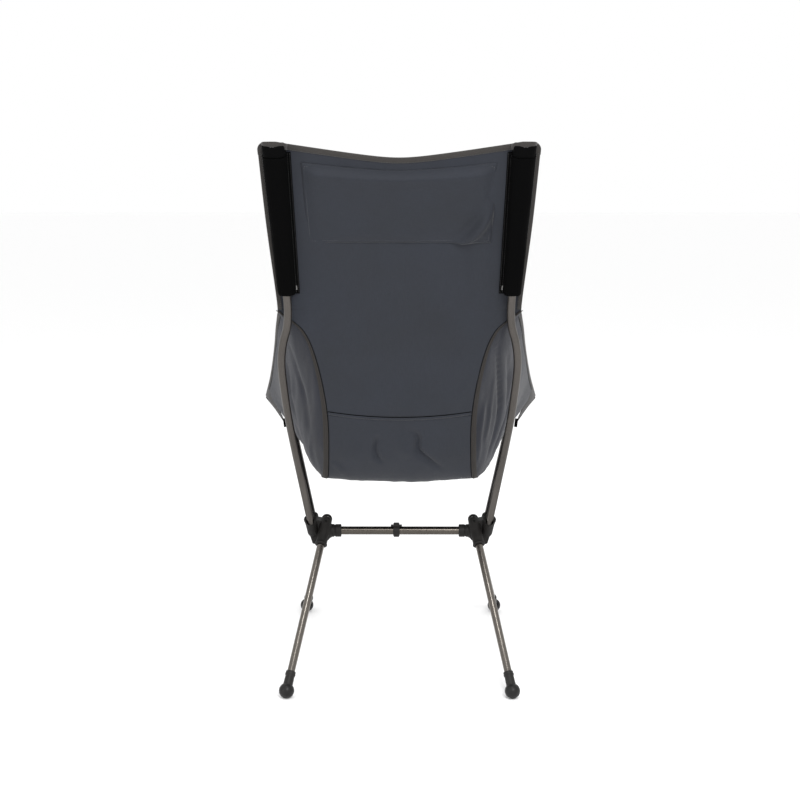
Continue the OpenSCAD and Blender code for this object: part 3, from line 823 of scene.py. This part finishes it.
def sleeve_trim(side):
    """The sewn-down flange along a sleeve's inner foot, and the pale bar-tack at its lower end."""
    label = LABEL[side]
    zs = steps(SLEEVE_LOW - 0.004, SLEEVE_TOP + 0.004, 90)
    share = (zs - SLEEVE_LOW) / (SLEEVE_TOP - SLEEVE_LOW)
    half = (0.030 + 0.008 * share) / 2
    foot = upper_axis(zs) - (SLEEVE_FOOT - 0.0012) * BACK_NORMAL
    foot[:, 0] -= half + 0.003
    across = np.tile(np.array([1.0, 0, 0]), (len(zs), 1))
    normal = np.tile(BACK_NORMAL, (len(zs), 1))
    flange = rounded_band(0.0075, 0.0014, 2)
    bar(f"sleeve_flange_{label}", "sleeve_fabric", foot, (across, normal), flange, WEBBING, side)
    middle = foot[4] + np.array([0.0012, 0, 0]) + 0.0011 * BACK_NORMAL
    tack = np.linspace(middle - 0.004 * UPPER_DIR, middle + 0.004 * UPPER_DIR, 14)
    tack[:, 0] += 0.0006 * np.sin(np.arange(14) * 2.2)  # the tack's zigzag
    bar(f"sleeve_bar_tack_{label}", "seam_tape", tack, (across[:14], normal[:14]),
        rounded_band(0.0018, 0.0008, 2), PALE_THREAD, side)
    rows = np.stack([foot + 0.0008 * BACK_NORMAL + np.array([dx, 0, 0]) for dx in (-0.0022, 0.0018)])
    stitches(f"sleeve_stitches_{label}", both(side, *rows),
             [mirrored(normal, side)] * 2, BINDING_THREAD, "seam_tape")


def tip_pocket(side):
    """The hood over a rear pole's tip: the sleeve's shape, closed by a rounded top under the hem."""
    levels = [
        (SLEEVE_TOP + 0.0005, 0.93), (0.957, 0.95), (0.962, 0.96), (0.966, 0.95), (0.969, 0.9),
        (0.9708, 0.78), (0.9716, 0.5), (0.9718, 0.05),
    ]
    grid = []
    for z, share in levels:
        x, d = sleeve_profile(0.0193 * share)
        middle = SLEEVE_DEPTH / 2 - SLEEVE_FOOT
        d = middle + (d - middle) * share
        grid.append(upper_axis(z)[None] + np.stack([x, 0 * x, 0 * x], -1) + d[:, None] * BACK_NORMAL)
    label = LABEL[side]
    cloth(f"tip_pocket_hood_{label}", np.array(grid), BINDING, "sleeve_fabric", f"tip_pocket_{label}",
          side=side, thickness=HOOD_T)


def bowed_wall(top, low, count, axis, depth):
    """A grid from one edge down to another, bowed out along an axis in the middle."""
    v = np.linspace(0, 1, count)[:, None, None]
    grid = top[None] * (1 - v) + low[None] * v
    bow = np.sin(np.pi * v[..., 0]) * np.sin(np.pi * np.linspace(0, 1, len(top)))[None]
    grid[..., axis] += depth * bow
    return grid


def front_pocket(side):
    """The cloth outside a front pole's tip, with its black bound mouth."""
    n = 34
    top = curve(EDGE, steps(9.72, FRONT_ROW, n - 1)) + np.array([0.0004, 0, -0.002])
    low = metres([(246, -262, 413), (255, -275, 423), (271, -293, 441), (289, -303, 461)])
    low = curve(low, np.linspace(0, 3, n))
    grid = bowed_wall(top, low, 22, 0, 0.006)
    label = LABEL[side]
    cloth(f"front_pocket_cloth_{label}", grid, POCKET_CLOTH, "side_fabric", f"front_pocket_{label}", side=side)
    mouth = resample(low, 0.003)
    up = unit(np.array([-0.2, 0.25, 1.0]))
    along = unit(np.gradient(mouth, axis=0))
    normal = unit(np.cross(along, up))
    across = unit(np.cross(normal, along))
    bar(f"front_pocket_binding_{label}", "sleeve_fabric", mouth, (across, normal),
        rounded_band(0.0045, 0.0028), BINDING, side)
    tab_path = np.linspace(low[0] + np.array([0.001, 0, 0.008]), low[0] + np.array([-0.001, 0, -0.010]), 12)
    tab_across = np.tile(unit(np.array([0.6, 0.8, 0])), (12, 1))
    tab_normal = np.tile(unit(np.array([0.8, -0.6, 0])), (12, 1))
    bar(f"front_pocket_tab_{label}", "sleeve_fabric", tab_path, (tab_across, tab_normal),
        rounded_band(0.009, 0.002), BINDING, side)


def front_cup(side):
    """The pocket's front and inner walls, which hide a front pole's tip and have no CAD node of their own."""
    n = 40
    corner = side_point(FRONT_ROW - 0.03, np.linspace(0.97, 0, 18))
    inner = centre_point(np.linspace(FRONT_ROW - 0.03, FRONT_ROW - 0.42, 22), 0.945)
    top = np.concatenate([corner, inner]) - np.array([0, 0, 0.0012])
    low = metres([(289, -303.5, 461), (260, -298, 440), (244, -294, 429), (229.5, -289, 426),
                  (222, -268, 411), (218.5, -246, 399)])
    low = curve(low, np.linspace(0, 5, n))
    grid = bowed_wall(top, low, 18, 1, -0.009)
    label = LABEL[side]
    cloth(f"front_pocket_wall_{label}", grid, POCKET_CLOTH, "side_fabric", side=side)
    along = unit(np.gradient(low, axis=0))
    up = unit(grid[0] - grid[-1])
    normal = unit(np.cross(along, up))
    across = unit(np.cross(normal, along))
    bar(f"front_pocket_wall_binding_{label}", "sleeve_fabric", low, (across, normal),
        rounded_band(0.0045, 0.0024), BINDING, side)


# ---------- Frame pieces ----------
REAR_BENDS = [
    (192.5, 112, 419), (200.5, 151, 487), (205, 184, 545), (207, 212, 598), (202, 232, 636),
    (193, 248, 668), (190, 263, 700), (191.4, 280.4, 740), (192, 289.2, 760),
]


def rear_pole(side):
    bends = metres(REAR_BENDS)
    start = metres([(169, 12.5, 244)])[0]
    path = np.vstack([start[None], curve(bends, np.linspace(0, len(bends) - 1, 90))])
    d = unit(np.gradient(path, axis=0))
    a = unit(np.cross(d, np.array([1.0, 0, 0])))
    b = np.cross(d, a)
    label = LABEL[side]
    obj = sweep(f"rear_pole_bent_{label}", mirrored(path, side), both(side, a, b),
                circle(TUBE_R, 48), POLE)
    finish_piece(obj, "frame", "pole_alloy", f"rear_pole_lower_{label}")


def lathe(start, direction, profile, sides=48):
    """A closed turned solid: profile is (radius, distance from start) pairs."""
    d = unit(direction)
    a = unit(np.cross(d, [0.31, 0.9, 0.22]))
    b = np.cross(d, a)
    angles = np.linspace(0, 2 * math.pi, sides + 1)[:-1]
    spokes = np.cos(angles)[:, None] * a + np.sin(angles)[:, None] * b
    rings = [start + d * h + r * spokes for r, h in profile]
    faces = [tuple(f) for f in grid_faces(len(profile), sides, wrap=True)]
    faces.append(tuple(range(sides)))
    faces.append(tuple((len(profile) - 1) * sides + j for j in range(sides - 1, -1, -1)))
    return np.concatenate(rings), faces


def prism(outline, low, high):
    """A closed block: an outline of (x, z) points, from low to high along Y."""
    m = len(outline)
    verts = [(x, y, z) for y in (low, high) for x, z in outline]
    faces = [tuple(f) for f in grid_faces(2, m, wrap=True)]
    faces += [tuple(range(m)), tuple(range(2 * m - 1, m - 1, -1))]
    return np.array(verts, float), faces


def raw_solid(name, parts):
    verts, faces, first = [], [], 0
    for part_verts, part_faces in parts:
        verts.append(part_verts)
        faces += [tuple(first + i for i in f) for f in part_faces]
        first += len(part_verts)
    obj = new_object(name, np.concatenate(verts), faces)
    mesh = bmesh.new()
    mesh.from_mesh(obj.data)
    bmesh.ops.recalc_face_normals(mesh, faces=mesh.faces)
    mesh.to_mesh(obj.data)
    mesh.free()
    return obj


def moulding(name, parts, holes, voxel, rounds, side=1):
    """One moulded piece: its parts melted together, softened, and then bored."""
    obj = raw_solid(name, [(mirrored(v, side), f) for v, f in parts])
    remesh = obj.modifiers.new("remesh", "REMESH")
    remesh.mode, remesh.voxel_size = "VOXEL", voxel
    soften = obj.modifiers.new("soften", "SMOOTH")
    soften.factor, soften.iterations = 0.5, rounds
    cutters = []
    for k, (verts, faces) in enumerate(holes):
        cutter = raw_solid(f"{name}_cutter_{k}", [(mirrored(verts, side), faces)])
        cut = obj.modifiers.new(f"cut_{k}", "BOOLEAN")
        cut.operation, cut.solver, cut.object = "DIFFERENCE", "EXACT", cutter
        cutters.append(cutter)
    graph = bpy.context.evaluated_depsgraph_get()
    mesh = bpy.data.meshes.new_from_object(obj.evaluated_get(graph))
    obj.modifiers.clear()
    obj.data = mesh
    for cutter in cutters:
        bpy.data.objects.remove(cutter, do_unlink=True)
    mesh.polygons.foreach_set("use_smooth", [True] * len(mesh.polygons))
    mesh.set_sharp_from_angle(angle=math.radians(38))
    mesh.materials.clear()
    mesh.materials.append(HUB_PLASTIC)
    return obj


def at(x, y, z):
    return metres([(x, y, z)])[0]


LEG_DIR = unit(np.array([202.5 - 146.5, 250 - 22, 13.4 - 250]))
FRONT_START, FRONT_TIP = at(168.5, -12, 256), at(238, -283, 436)
REAR_START = at(169, 12.5, 244)
SOCKET_R, CROSSBAR_R = 0.0105, 0.008


def hub(side):
    """The moulded hub: a collar on the crossbar, two leg sockets and two pole sockets on one block."""
    x_axis = np.array([1.0, 0, 0])
    rear_dir = unit(at(*REAR_BENDS[0]) - REAR_START)
    front_dir = unit(FRONT_TIP - FRONT_START)
    block = [(136, 232), (144, 224), (164, 220), (170, 222), (181, 258), (178, 265), (160, 268), (148, 266),
             (138, 256)]
    block = [(x * MM, z * MM) for x, z in block]
    parts = [
        lathe(at(114.5, 0, 244), x_axis, [(0.0118, 0), (0.0124, 0.0008), (0.0124, 0.011), (0.0112, 0.012),
                                          (0.0112, 0.0135), (0.0126, 0.0145), (0.0126, 0.036)]),
        lathe(at(134, 0, 244), x_axis, [(0.0140, 0), (0.0148, 0.002), (0.0148, 0.023)]),
        prism(block, HUB[1] - 0.0165, HUB[1] + 0.0165),
    ]
    holes = [lathe(at(113, 0, 244), x_axis, [(CROSSBAR_R + 0.0001, 0), (CROSSBAR_R + 0.0001, 0.024)])]
    for end in (1, -1):
        d = LEG_DIR * np.array([1, end, 1])
        aim = at(146.5, 22 * end, 250)
        mouth = aim + 0.033 * d
        profile = [(0.0114, 0), (0.0119, 0.0008), (0.0119, 0.0032), (0.0108, 0.0045), (0.0108, 0.03)]
        profile += [(SOCKET_R, 0.04), (SOCKET_R, 0.0545), (0.0098, 0.0575), (0.008, 0.0598),
                    (0.005, 0.0612), (0.001, 0.0616)]
        parts.append(lathe(mouth, -d, profile))
        holes.append(lathe(mouth + 0.003 * d, -d, [(TUBE_R + 0.00025, 0), (TUBE_R + 0.00025, 0.0385)]))
        dimple = mouth - 0.0515 * d
        holes.append(lathe(dimple + np.array([0, 0.0045 * end, 0.002]), np.array([0, end, 0.35]),
                           [(0.0024, 0), (0.0026, 0.009)]))
    for start, d, depth in ((REAR_START, rear_dir, 0.037), (FRONT_START, front_dir, 0.020)):
        mouth = start + depth * d
        lip = depth * 0.0495  # the tall rear cup flares more than the front one
        profile = [(0.0101 + lip, 0), (0.0106 + lip, 0.0008), (0.0104 + lip, 0.0035), (0.0109, 0.014),
                   (SOCKET_R, depth), (0.008, depth + 0.007), (0.002, depth + 0.009)]
        parts.append(lathe(mouth, -d, profile))
        flare = [(0.0090, 0), (TUBE_R + 0.0005, 0.0075), (TUBE_R + 0.0003, depth + 0.002)]
        holes.append(lathe(mouth + 0.003 * d, -d, flare))
    for reach in (0.0305, 0.0350, 0.0400):
        opening = REAR_START + reach * rear_dir  # bores side by side open the rear cup like a U
        holes.append(lathe(opening, np.array([0, 1.0, 0.1]), [(0.0076, 0), (0.0080, 0.02)]))
    holes.append(lathe(at(141.1, 0, 266), np.array([0, 0, 1.0]), [(0.0036, 0), (0.0036, 0.02)]))
    label = LABEL[side]
    obj = moulding(f"hub_moulded_{label}", parts, holes, 0.0009, 3, side)
    finish_piece(obj, "frame", "hub_nylon", f"hub_{label}")


def crossbar_clip():
    """The small sliding clip: a ring on the crossbar, a winged foot and a lug on top."""
    low, high = (np.array(corner, float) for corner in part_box("crossbar_clip"))
    x = (low[0] + high[0]) / 2
    width = 0.0125
    start = np.array([x - width / 2, HUB[1], HUB[2]])
    ring = [(0.0100, 0), (0.0106, 0.0006), (0.0106, width - 0.0006), (0.0100, width)]
    wing = [(x - 0.0108, 0.2525), (x + 0.0108, 0.2525), (x + 0.0108, 0.2552), (x - 0.0108, 0.2552)]
    lug = [(x - 0.006, 0.252), (x + 0.006, 0.252), (x + 0.0058, 0.2582), (x + 0.0045, 0.2594),
           (x - 0.0045, 0.2594), (x - 0.0058, 0.2582)]
    under = [(x - 0.0052, 0.2318), (x + 0.0052, 0.2318), (x + 0.0052, 0.2345), (x - 0.0052, 0.2345)]
    parts = [lathe(start, np.array([1.0, 0, 0]), ring), prism(wing, HUB[1] - 0.0042, HUB[1] + 0.0042),
             prism(lug, HUB[1] - 0.0033, HUB[1] + 0.0033), prism(under, HUB[1] - 0.0038, HUB[1] + 0.0038)]
    holes = [lathe(start - np.array([0.01, 0, 0]), np.array([1.0, 0, 0]),
                   [(CROSSBAR_R + 0.0001, 0), (CROSSBAR_R + 0.0001, 0.04)])]
    obj = moulding("crossbar_clip_moulded", parts, holes, 0.00045, 3)
    finish_piece(obj, "clip", "clip_plastic", "crossbar_clip")


# ---------- Stage, light and camera ----------
def area_light(name, place, aim, size, power):
    data = bpy.data.lights.new(name, "AREA")
    data.shape, data.size, data.size_y = "RECTANGLE", size[0], size[1]
    data.energy = power
    obj = bpy.data.objects.new(name, data)
    bpy.context.scene.collection.objects.link(obj)
    obj.location = place
    obj.rotation_euler = (Vector(aim) - Vector(place)).to_track_quat("-Z", "Y").to_euler()


def studio():
    size = 60
    floor = new_object("floor", [(-size, -size, 0), (size, -size, 0), (size, size, 0), (-size, size, 0)],
                       [(0, 1, 2, 3)])
    floor.data.materials.append(plain("pale_floor", (0.98, 0.98, 0.98), 0.8))
    world = bpy.data.worlds.new("studio")
    world.use_nodes = True
    world.node_tree.nodes["Background"].inputs["Color"].default_value = (1, 1, 1, 1)
    world.node_tree.nodes["Background"].inputs["Strength"].default_value = 1.0
    bpy.context.scene.world = world
    bpy.context.scene.view_settings.view_transform = "Standard"
    middle = (0, 0, 0.55)
    area_light("key", (-0.7, 2.6, 2.2), middle, (1.2, 0.9), 58)
    area_light("strip", (2.3, 1.9, 1.2), middle, (0.25, 2.4), 14)
    area_light("leg_glint", (0.0, 1.15, 3.1), (0, 0.15, 0.15), (0.4, 0.4), 14)
    area_light("front_soft", (0.4, -2.4, 2.4), middle, (2.0, 1.5), 9)


# The photo's view, solved for an assumed camera height: metres, and degrees
CAMERA_X, CAMERA_BACK, CAMERA_HEIGHT = -0.0098, 2.51, 0.894
CAMERA_DOWN, CAMERA_TURN, LENS_MM = 8.88, 0.224, 59.45


def camera():
    data = bpy.data.cameras.new("camera")
    data.lens, data.sensor_width = LENS_MM, 36
    obj = bpy.data.objects.new("camera", data)
    bpy.context.scene.collection.objects.link(obj)
    obj.location = (CAMERA_X, HUB[1] + CAMERA_BACK, CAMERA_HEIGHT)
    obj.rotation_euler = (math.radians(90 - CAMERA_DOWN), 0, math.radians(180 + CAMERA_TURN))
    bpy.context.scene.camera = obj


# ---------- Making it all ----------
dress_cad_nodes()
back_panel()
seat_panel()
headrest_panel()
top_hem()
front_hem()
seat_seam()
panel_stitches()
for SIDE in (1, -1):
    side_panel(SIDE)
    side_hem(SIDE)
    seam_tape(SIDE)
    sleeve(SIDE)
    sleeve_trim(SIDE)
    tip_pocket(SIDE)
    front_pocket(SIDE)
    front_cup(SIDE)
    rear_pole(SIDE)
    hub(SIDE)
crossbar_clip()
studio()
camera()
